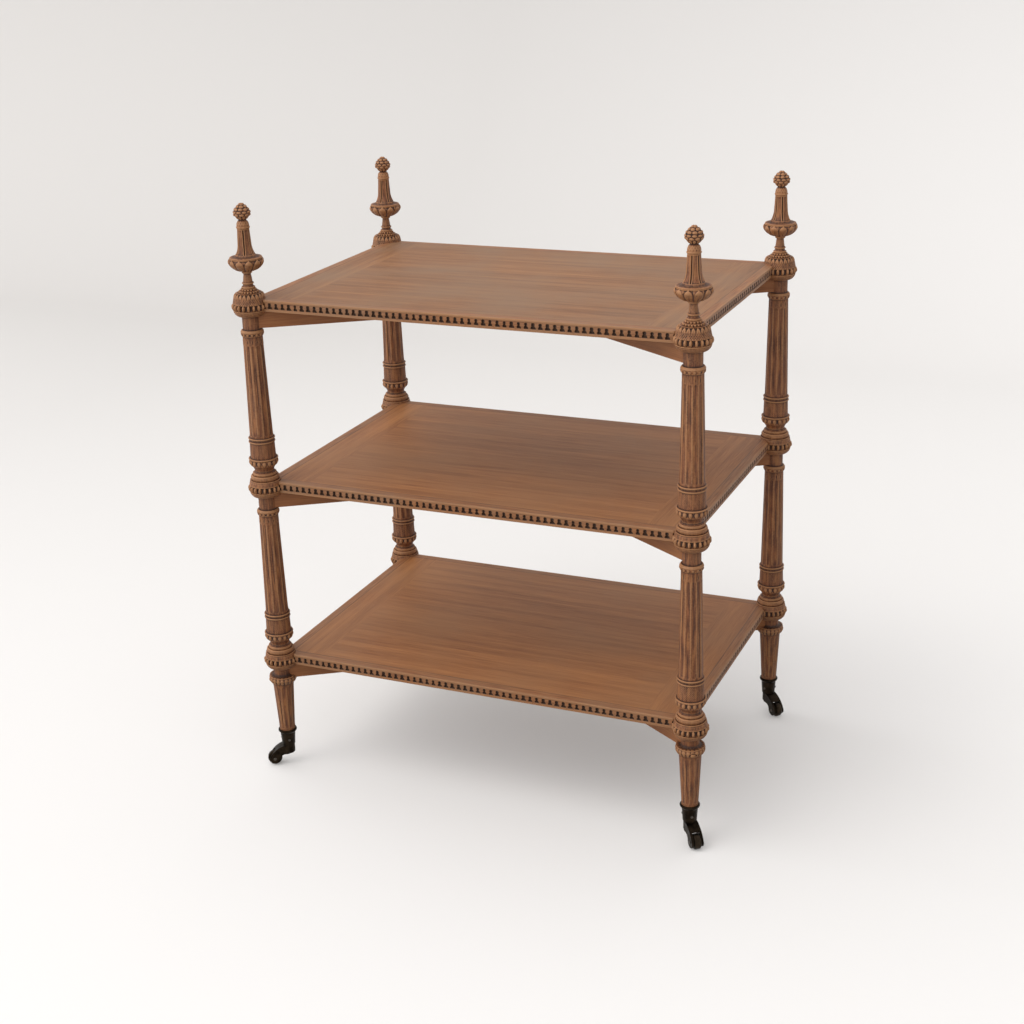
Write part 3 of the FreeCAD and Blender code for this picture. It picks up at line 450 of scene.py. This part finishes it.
limed_turning = turned_wood("limed_turned_hardwood", "#4F2912", "#7A4727", "#9C6038", "#855A3C")


def set_posts(mesh, kind):
    """One piece of this kind on each post, a quarter turn on from post to post."""
    mesh.materials.append(limed_turning)
    for corner, (side, depth) in CORNERS.items():
        piece = bpy.data.objects.new("carved_%s_%s" % (kind, corner), mesh)
        bpy.context.scene.collection.objects.link(piece)
        piece.location = (side * HALF_LONG * MM, depth * HALF_SHORT * MM, 0)
        piece.rotation_euler = (0, 0, QUARTER_TURN * list(CORNERS).index(corner))
        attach(piece, "stand")
        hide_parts("%s_%s" % (kind, corner))


set_posts(leg_mesh, "leg")


# Lower and upper columns. Each is one turning between two collars: a swelling foot, a row of
# drops, a plain drum, a fillet, the long fluted shaft, an astragal of drops, and a short neck
# that the rail is housed in. The upper ones end in a leaf-edged bell over their collar.
def column_cuts(shaft):
    """The cuts from a column's waist to its neck, for a shaft of this length in mm."""
    return [
        (0, 18.2, 0, 1, plain), (10.5, 23.8, FAINT_HOLLOW, 8, plain),
        (12.5, 26, 0.25, 22, drops(16, 0.66, 3.8, 1.06, 11)),
        (0, 26.8, 0, 1, plain), (3, 26.8, HALF_ROUND, 7, plain),
        (0, 24.5, 0, 2, plain), (31, 23.6, 0, 46, punched(44, 14, 0.4)),
        (0, 24, 0, 1, plain), (3, 24, HALF_ROUND, 6, plain),
        (0, 23.3, 0, 1, plain), (4, 23.3, 0, 3, plain),
        (0, 24, 0, 1, plain), (3, 24, HALF_ROUND, 6, plain),
        (0, 22.6, 0, 1, plain),
        (shaft, 18.8, 0, 100, flutes(12, 0.88, 0.9, 4, 16, 22.6, 18.8, 23, 1.8, 6)),
        (0, 19.4, 0, 1, plain), (12, 19.4, 2.6 / 12, 20, drops(15, 0.6, 2.0, 0.6, 29)),
        (0, 16.9, 0, 2, plain), (27, 16.9, 0, 6, plain),
    ]


lower_mesh = turned("lower_column", 272, 14, column_cuts(207.5) + COLLAR + STEPPED_RINGS)
set_posts(lower_mesh, "lower_column")
TOP_COLLAR = COLLAR[:-1] + [(10.5, 29.2, 0, 18, punched(46, 4, 0.6))]
BELL = [
    (0, 28.9, 0, 2, plain), (9, 24.8, SWELL, 20, leaves(21, 2.4)),
    (0, 17.5, 0, 4, plain), (4, 17.5, HALF_ROUND, 8, beads(20, 0.66, 0.9, 7)),
    (0, 13.2, 0, 3, plain), (4, 13.2, HALF_ROUND, 8, beads(15, 0.66, 0.9, 8)),
    (0, 10.8, 0, 2, plain), (4, 10.8, HALF_ROUND, 8, plain), (4, 9.5, HOLLOW, 5, plain),
]
upper_mesh = turned("upper_column", 638, 14, column_cuts(198) + TOP_COLLAR + BELL)
set_posts(upper_mesh, "upper_column")


# Finials. Each is a small turning on a spigot: a ringed neck, a saucer whose bowl is cut into
# petals, a fluted spire that flares down to the saucer, and a knob carved like a berry.
def petals(count, deep, first, last, seed):
    """Round-ended petals up the outside of a bowl, of which this cut holds one stretch."""
    def carving(up, tall):
        whole = first + (last - first) * up
        wide = 0.5 * np.clip(1 - np.clip((whole - 0.5) / 0.45, 0, 1) ** 2, 0.02, 1) ** 0.5
        across = np.abs(fair_share(count)) / wide
        face = np.clip(1 - across ** 2.4, 0, 1) ** 0.5
        hollowed = deep * (1 - face) * unlike(count, 0.4, seed, 0.5)
        vein = 0.7 * np.exp(-(fair_share(count) / 0.05) ** 2) * (1 - step(0.4, 0.6, whole))
        within = step(0.02, 0.2, whole) * (1 - step(0.93, 1.0, whole))
        return 1, (hollowed + vein) * within, 0
    return carving


def berry(count, deep, offset):
    """A ring of lobes round a knob."""
    def carving(up, tall):
        lobe = (fair_share(count, offset) / 0.47) ** 2 + ((up - 0.5) / 0.75) ** 2
        fall = 1 - np.clip(1 - lobe, 0, 1) ** 0.5
        return 1, 0, deep * fall * unlike(count, 0.7, count, offset + 0.5)
    return carving


THROUGH = -9                # mm that a slot is plain for at an end that it runs out of


def slots(count, deep, radius, new_radius, low, high):
    """Narrow deep grooves up a spire, each between two thin raised edges."""
    def carving(up, tall):
        at = up * tall
        pitch = 2 * np.pi * (radius + (new_radius - radius) * up) / count
        x = np.abs(fair_share(count, 0.53)) * pitch
        inside = step(low - 1, low + 1, at) * (1 - step(tall - high - 1, tall - high + 1, at))
        groove = deep * (1 - step(0.4, 1.9, x)) + 0.8 * step(2.4, 3.6, x)
        return 1, groove * inside, 0
    return carving


KNOB = [
    (6.6, 13.4, 0.05, 12, berry(9, 2.6, 0.5)), (5.6, 16.2, 0.2, 11, berry(9, 2.6, 0.0)),
    (5.2, 14.6, 0.2, 10, berry(9, 2.8, 0.5)), (5.4, 11.2, 0.18, 10, berry(8, 2.6, 0.0)),
    (4.6, 6, 0.18, 9, berry(6, 2.2, 0.5)), (2.9, 0.6, 0.25, 6, berry(4, 1, 0.0)),
]
finial_mesh = turned("finial", 1001, 5, [
    (0, 9.25, 0, 1, plain), (3.5, 9.25, HALF_ROUND, 7, plain),
    (0, 9, 0, 1, plain), (16.5, 6.8, 0, 10, plain),
    (0, 7.55, 0, 1, plain), (4.5, 7.55, HALF_ROUND, 8, plain), (0, 10, 0, 2, plain),
    (16, 33.1, 0.15, 30, petals(11, 2.8, 0, 0.76, 4)),
    (8, 30.3, 0.15, 16, petals(11, 2.8, 0.76, 1, 4)),
    (0, 29.2, 0, 1, plain), (2, 28.8, HALF_ROUND, 6, plain), (0.4, 26.4, 0, 3, plain),
    (1.4, 20.8, FAINT_HOLLOW, 8, plain), (3.2, 18.4, FAINT_HOLLOW, 8, plain),
    (17.5, 13.2, -0.05, 24, slots(6, 2.4, 18.4, 13.2, THROUGH, THROUGH)),
    (30, 11.4, 0, 30, slots(6, 2.4, 13.2, 11.4, THROUGH, 2.5)),
    (0, 10.7, 0, 1, plain), (4, 10.7, HALF_ROUND, 7, plain), (0, 11.5, 0, 1, plain),
    (11.4, 7, SWELL, 12, punched(14, 3, 0.4)),
] + KNOB)
set_posts(finial_mesh, "finial")


# Diagonal rails. Two plain hardwood bars under each shelf run from post neck to post neck and
# are half-lapped where they cross. They were planed and waxed but never limed, so they are
# a warmer brown than the rest, with the grain along the bar.
def board_wood(name, turn, colours, grain, streak, rough, grey_share):
    """Planed hardwood: grain along the board, which lies at `turn` to X, and greyed clouds.

    Its coarsest fibres are 1.6 mm by 55 mm, its growth streaks 17 mm by 450 mm, and the
    clouds 200 mm across. `grain` and `streak` are the shares of the two in its tones."""
    dark, middle, light, grey = colours
    material, tree, face = new_material(name, Roughness=rough)
    where = add(tree, "TexCoord").outputs["Object"]
    laid = add(tree, "Mapping", vector_type="TEXTURE",
               inputs={"Vector": where, "Rotation": (0, 0, turn)}).outputs[0]
    fibre = drawn_grain(tree, laid, (18, 620, 620), Detail=6.0, Roughness=0.62)
    growth = drawn_grain(tree, laid, (2.2, 60, 60), Detail=5.0, Distortion=0.6)
    cloud = add(tree, "TexNoise", inputs={"Vector": where, "Scale": 5.0, "Detail": 4.0})
    rings = add(tree, "Math", operation="MULTIPLY_ADD",
                inputs={0: growth, 1: streak, 2: 0.5 - (streak + grain) / 2})
    both = add(tree, "Math", operation="MULTIPLY_ADD",
               inputs={0: fibre, 1: grain, 2: rings.outputs[0]})
    wood = add(tree, "ValToRGB", stops=[(0.28, dark), (0.5, middle), (0.72, light)],
               inputs={0: both.outputs[0]})
    worn = coat(tree, wood.outputs[0], grey, cloud.outputs[0], [(0.38, 0.0), (0.66, grey_share)])
    link_finish(tree, face, worn, fibre, 0.4, 0.25)
    return material


slope = math.atan2(HALF_SHORT, HALF_LONG)
RAIL_COLOURS = ("#6E3E1A", "#935A2E", "#AC7342", "#855938")
for way, turn in (("rising", slope), ("falling", -slope)):
    give(board_wood("waxed_rail_wood_%s" % way, turn, RAIL_COLOURS, 0.6, 0.5, 0.58, 0.35),
         "rail_%s" % way)


# Shelves. Each is a glued hardwood panel with its grain along the stand, held flat by a
# narrow board across each end. Long use and sun have greyed and streaked the waxed tops,
# the highest one most. The two lower shelves are also coloured lighter than the top one, as
# painted light that makes up for the shade under the top shelf.
# Lighter than the top's colours, partly as painted fill light for the two lower shelves
PANEL_COLOURS_WITH_PAINTED_FILL = ("#7F4A22", "#9E6536", "#B37742", "#9E7049")
TOP_COLOURS = ("#704524", "#8D5E37", "#A27044", "#896B50")
for kind, turn in (("panel", 0), ("ends", QUARTER_TURN)):
    give(board_wood("waxed_%s_wood" % kind, turn, PANEL_COLOURS_WITH_PAINTED_FILL, 0.8, 0.7, 0.55, 0.5),
         "shelf_%s_bottom" % kind, "shelf_%s_middle" % kind)
    give(board_wood("sun_greyed_%s_wood" % kind, turn, TOP_COLOURS, 0.8, 0.7, 0.55, 0.6),
         "shelf_%s_top" % kind)


# Edge mouldings. A worked strip is glued along each side of each shelf: a rounded lip above, a
# low swelling cut with a row of deep pits, each a round head over a wider foot, and a flat
# fillet below. Its ends are cut square to the diagonals, where the collars take them.
STRIP_WIDE, STRIP_TALL = 19.0, 21.5
JOINT_WIDE = 2.2            # mm of dirt along the glued joint with the panel
CORNER_CLIP = 25.2          # mm from a post's axis to a strip's end
STRIP_WORN = 0.3            # mm over which its arrises are worn round
SAMPLE = 0.6                # mm between points along it
# Its section from the foot of its back round to there again: out, level, roundness, rows, pitted
STRIP_SECTION = [
    (STRIP_WIDE - 2, 0, 0, 4, False), (STRIP_WIDE - 2, 4.5, 0, 4, False),
    (STRIP_WIDE - 2.4, 4.5, 0, 1, False), (STRIP_WIDE - 1, 16.5, 0.8 / 12, 20, True),
    (STRIP_WIDE - 0.8, 16.5, 0, 1, False), (STRIP_WIDE - 0.8, STRIP_TALL, 0.8 / 5, 10, False),
    (JOINT_WIDE, STRIP_TALL, 0, 5, False), (0, STRIP_TALL, 0, 4, False), (0, 0.1, 0, 3, False),
]
PIT_PITCH, PIT_DEEP = 13.5, 4.5
PIT_SIZES = (0.82, 1.12)    # least and largest, as no two are alike
# mm: half a pit's width at its foot, how much less it is at the waist, the levels between
# which it narrows, the level that the foot ends at, and the head's radius and level
FOOT_HALF, WAIST_LESS, WAIST_LEVELS, FOOT_TOP = 4.0, 2.2, (7.5, 11.5), 13.2
HEAD_RADIUS, HEAD_LEVEL = 2.7, 13.5
# Hollowness for the dirt and painted shade in the pits, the most allowed off them, and the dirt
# line in the glued joint
FULL_DIRT_AND_SHADE, LITTLE_DIRT_AND_SHADE, JOINT_DIRT = 0.95, 0.55, 0.68        # as hollowness


def edge_strip(name, length, post_out, post_turn):
    """A strip in mm: X along it, -Y out of the shelf, Z up from its underside.

    `length` is between post centres, `post_out` how far its face stands out past them, and
    `post_turn` the angle between it and the diagonal."""
    parts, here = [], np.zeros(2)
    for out_to, level_to, roundness, rows, is_pitted in STRIP_SECTION:
        there = np.array([out_to, level_to], float)
        _, up, points, rise, chord_out, _ = one_cut(
            here, there, roundness, rows, STRIP_WORN, not parts)
        parts.append((points, rise, chord_out, np.full(len(up), is_pitted)))
        here = there
    line, rise, outs, pitted = (np.concatenate(part) for part in zip(*parts))
    clip = CORNER_CLIP + (post_out - STRIP_WIDE + line[:, 0]) * math.sin(post_turn)
    first = -length / 2 + (clip / math.cos(post_turn))[None, :]
    x = first + np.linspace(0, 1, int(length / SAMPLE))[:, None] * -2 * first
    level = line[:, 1][None, :]

    order = np.floor(x / PIT_PITCH).astype(int)
    order -= order.min()
    size = np.random.default_rng(7).uniform(*PIT_SIZES, order.max() + 1)[order]
    away = np.abs((x / PIT_PITCH) % 1 - 0.5) * PIT_PITCH
    half = FOOT_HALF * size - WAIST_LESS * step(*WAIST_LEVELS, level)
    in_foot = np.where(level < FOOT_TOP, half - away, -np.inf)
    in_pit = np.maximum(in_foot, HEAD_RADIUS * size - np.hypot(away, level - HEAD_LEVEL))
    pit = step(-0.2, 0.6, in_pit) * step(4.9, 5.9, level)          # steep walls over a sill
    # Dirt and painted shade fill each pit and reach just past its edge
    soiled_and_shaded = step(-0.9, -0.3, in_pit) * step(4.4, 5.2, level)      # reaches just past its edge

    lift = np.where(pitted, rise - PIT_DEEP * pit, rise)
    out_at, level_at = line[:, 0] + outs[:, 0] * lift, line[:, 1] + outs[:, 1] * lift
    hollow = hollowness((out_at.T, level_at.T), (outs[:, :1], outs[:, 1:]), length_run(line),
                        np.full((len(line), 1), SAMPLE)).T
    # The pits' hollowness: dirt and painted shade in them
    dirt = 0.5 + (FULL_DIRT_AND_SHADE - 0.5) * soiled_and_shaded
    hollow = np.where(pitted, np.maximum(hollow, dirt), np.minimum(hollow, LITTLE_DIRT_AND_SHADE))
    hollow[:, (line[:, 0] < JOINT_WIDE) & (line[:, 1] > STRIP_TALL - 1)] = JOINT_DIRT
    return carved_mesh(name, np.stack([x, -out_at, level_at], axis=-1), hollow)


def strip_wood(name, dark, middle, light, grey):
    """The panel's wood worked to a moulding: greyed clouds, rubbed pale edges, and dirt and
    painted shade in the pits.

    Its coarsest fibres are 2 mm by 45 mm, and the clouds are 90 mm across."""
    material, tree, face = new_material(name, Roughness=0.55)
    where = own_place(tree, 7.0)
    fibre = drawn_grain(tree, where, (22, 500, 500), Detail=5.0)
    cloud = add(tree, "TexNoise", inputs={"Vector": where, "Scale": 11.0, "Detail": 4.0})
    hollow = add(tree, "Attribute", attribute_name="hollow").outputs["Fac"]
    wood = add(tree, "ValToRGB", stops=[(0.3, dark), (0.5, middle), (0.72, light)],
               inputs={0: fibre})
    limed = coat(tree, wood.outputs[0], grey, cloud.outputs[0], [(0.4, 0.0), (0.68, 0.6)])
    rubbed = coat(tree, limed, "#A97C54", hollow, [(0.3, 0.5), (0.48, 0.0)])
    # Dirt and painted shade, dark brown, where the strip is hollow
    soiled_and_shaded = coat(tree, rubbed, "#36200F", hollow, [(0.58, 0.0), (0.82, 0.92)])
    link_finish(tree, face, soiled_and_shaded, fibre, 0.3, 0.25)
    return material


worked_strip = strip_wood("worked_moulding_wood", "#714427", "#945F36", "#A97145", "#8F6A4C")
REACH_LONG, REACH_SHORT = 425.0, 281.0           # mm from the stand's middle to a strip's face
long_strip = edge_strip("long_edge_strip", 2 * HALF_LONG, REACH_SHORT - HALF_SHORT, slope)
short_strip = edge_strip("short_edge_strip", 2 * HALF_SHORT, REACH_LONG - HALF_LONG,
                         QUARTER_TURN - slope)
for strip in (long_strip, short_strip):
    strip.materials.append(worked_strip)
SIDES = {"front": (long_strip, 0, REACH_SHORT),
         "right": (short_strip, QUARTER_TURN, REACH_LONG),
         "back": (long_strip, math.pi, REACH_SHORT),
         "left": (short_strip, -QUARTER_TURN, REACH_LONG)}
for tier, underside in (("bottom", 228.5), ("middle", 594.5), ("top", 951.0)):
    for side, (mesh, turn, reach) in SIDES.items():
        piece = bpy.data.objects.new("beaded_edge_%s_%s" % (side, tier), mesh)
        bpy.context.scene.collection.objects.link(piece)
        inner = (reach - STRIP_WIDE) * MM
        piece.location = (math.sin(turn) * inner, -math.cos(turn) * inner, underside * MM)
        piece.rotation_euler = (0, 0, turn)
        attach(piece, "stand")
        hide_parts("moulding_%s_%s" % (side, tier))


# Room, light and camera: a seamless pale studio sweep, one large soft lamp high on the left
# in front, air that is brighter from the left, and the photograph's own viewpoint.
FLOOR_FRONT, FLOOR_BACK, FLOOR_HALF, WALL_TALL, SWEEP_RADIUS = -8.0, 4.5, 9.0, 5.0, 1.6    # m
curve_start = FLOOR_BACK - SWEEP_RADIUS
profile = [(FLOOR_FRONT, 0.0)] + [
    (curve_start + SWEEP_RADIUS * math.sin(a), SWEEP_RADIUS - SWEEP_RADIUS * math.cos(a))
    for a in np.linspace(0, QUARTER_TURN, 24)] + [(FLOOR_BACK, WALL_TALL)]
sweep_points = [(x, y, z) for y, z in profile for x in (-FLOOR_HALF, FLOOR_HALF)]
sweep_faces = [(i, i + 1, i + 3, i + 2) for i in range(0, len(sweep_points) - 2, 2)]
sweep_mesh = bpy.data.meshes.new("studio_sweep")
sweep_mesh.from_pydata(sweep_points, [], sweep_faces)
sweep_mesh.shade_smooth()
sweep = bpy.data.objects.new("studio_sweep", sweep_mesh)
bpy.context.scene.collection.objects.link(sweep)


def background_rays(tree):
    """1 for a ray that shows the background: from the camera, off gloss or through glass."""
    ray = add(tree, "LightPath").outputs
    shown = add(tree, "Math", operation="ADD",
                inputs={0: ray["Is Camera Ray"], 1: ray["Is Glossy Ray"]})
    shown = add(tree, "Math", operation="ADD", use_clamp=True,
                inputs={0: shown.outputs[0], 1: ray["Is Transmission Ray"]})
    return shown.outputs[0]


# Matt paper, a little greyer to the back and the left as painted shade, under a thin veil of
# light, a glow painted on it that only camera, gloss and glass rays see. What it throws back
# on the stand is held down near it, to keep the shelves' undersides dark.
# A glow painted on the paper for camera, gloss and glass rays, lightening it and the shadow on it
VEIL = 0.18
paper, tree, face = new_material("matt_backdrop_paper", Roughness=0.9)
where = add(tree, "TexCoord").outputs["Object"]
seen = background_rays(tree)
place = add(tree, "SeparateXYZ", inputs={0: where})
# Painted shade: the paper turns greyer towards the back and the left
to_left = add(tree, "Math", operation="MULTIPLY_ADD", use_clamp=True,
              inputs={0: place.outputs[0], 1: -0.2, 2: 0.5})
to_back = add(tree, "Math", operation="MULTIPLY_ADD", use_clamp=True,
              inputs={0: place.outputs[1], 1: 0.2, 2: 0.3})
far = add(tree, "Math", operation="MULTIPLY", inputs={0: to_left.outputs[0], 1: to_back.outputs[0]})
paper_with_painted_shade = add(tree, "ValToRGB", stops=[(0.0, "#DFDDDA"), (0.9, "#BFBCB8")], inputs={0: far.outputs[0]})
away = add(tree, "VectorMath", operation="LENGTH", inputs={0: where})
bounce = add(tree, "MapRange", inputs={0: away.outputs["Value"], 1: 1.5, 2: 6.0})
held_down = add(tree, "Mix", data_type="RGBA",
                inputs={0: bounce.outputs[0], 6: linear("#4C4844"), 7: paper_with_painted_shade.outputs[0]})
paper_colour = add(tree, "Mix", data_type="RGBA",
                   inputs={0: seen, 6: held_down.outputs[2], 7: paper_with_painted_shade.outputs[0]})
tree.links.new(paper_colour.outputs[2], face.inputs["Base Color"])
# The painted glow of the veil: emission that only background rays see
face.inputs["Emission Color"].default_value = linear("#FFFCFA")
veil = add(tree, "Math", operation="MULTIPLY", inputs={0: seen, 1: VEIL})
tree.links.new(veil.outputs[0], face.inputs["Emission Strength"])
sweep_mesh.materials.append(paper)

VIEW_TURN, VIEW_DROP, VIEW_ROLL = 0.4190462, 0.3606490, -0.0334304
VIEW_PLACE = Vector((1.22536, -2.82754, 1.66543))
FOCAL_PIXELS, FRAME_PIXELS, SENSOR_MM = 1647.4989, 1024, 36.0
forward = Vector((-math.sin(VIEW_TURN) * math.cos(VIEW_DROP),
                  math.cos(VIEW_TURN) * math.cos(VIEW_DROP), -math.sin(VIEW_DROP)))
level_right = Vector((math.cos(VIEW_TURN), math.sin(VIEW_TURN), 0))
level_up = level_right.cross(forward)
right = math.cos(VIEW_ROLL) * level_right + math.sin(VIEW_ROLL) * level_up
up = -math.sin(VIEW_ROLL) * level_right + math.cos(VIEW_ROLL) * level_up
camera_data = bpy.data.cameras.new("camera")
camera_data.sensor_width = SENSOR_MM
camera_data.lens = FOCAL_PIXELS / FRAME_PIXELS * SENSOR_MM
camera = bpy.data.objects.new("camera", camera_data)
bpy.context.scene.collection.objects.link(camera)
camera_axes = Matrix((right, up, -forward)).transposed().to_4x4()
camera.matrix_world = Matrix.Translation(VIEW_PLACE) @ camera_axes
bpy.context.scene.camera = camera

LAMP_PLACE, LAMP_AIM = Vector((-4.9, -5.4, 11.6)), Vector((0, 0, 0.5))
lamp_data = bpy.data.lights.new("key_lamp", "AREA")
lamp_data.shape, lamp_data.size, lamp_data.energy = "SQUARE", 5.6, 240
lamp_data.color = linear("#FFFBF6")[:3]
lamp = bpy.data.objects.new("key_lamp", lamp_data)
bpy.context.scene.collection.objects.link(lamp)
lamp.location = LAMP_PLACE
lamp.rotation_euler = (LAMP_AIM - LAMP_PLACE).to_track_quat("-Z", "Y").to_euler()

BRIGHT_SIDE = (-0.88, -0.4, 0.25)
FAR_GLOW, NEAR_GLOW, SHOWN_AIR = 0.26, 2.0, 0.86
world = bpy.data.worlds.new("studio_air")
world.use_nodes = True
tree = world.node_tree
tree.nodes.clear()
toward = add(tree, "VectorMath", operation="DOT_PRODUCT",
             inputs={0: add(tree, "TexCoord").outputs["Generated"], 1: BRIGHT_SIDE})
glow = add(tree, "MapRange",
           inputs={0: toward.outputs["Value"], 1: -0.7, 2: 1.0, 3: FAR_GLOW, 4: NEAR_GLOW})
shown = add(tree, "Mix", inputs={0: background_rays(tree), 2: glow.outputs[0], 3: SHOWN_AIR})
air = add(tree, "Background", inputs={"Color": linear("#F8F8FA"), "Strength": shown.outputs[0]})
add(tree, "OutputWorld", inputs={"Surface": air.outputs[0]})
bpy.context.scene.world = world
bpy.context.scene.view_settings.view_transform = "Standard"
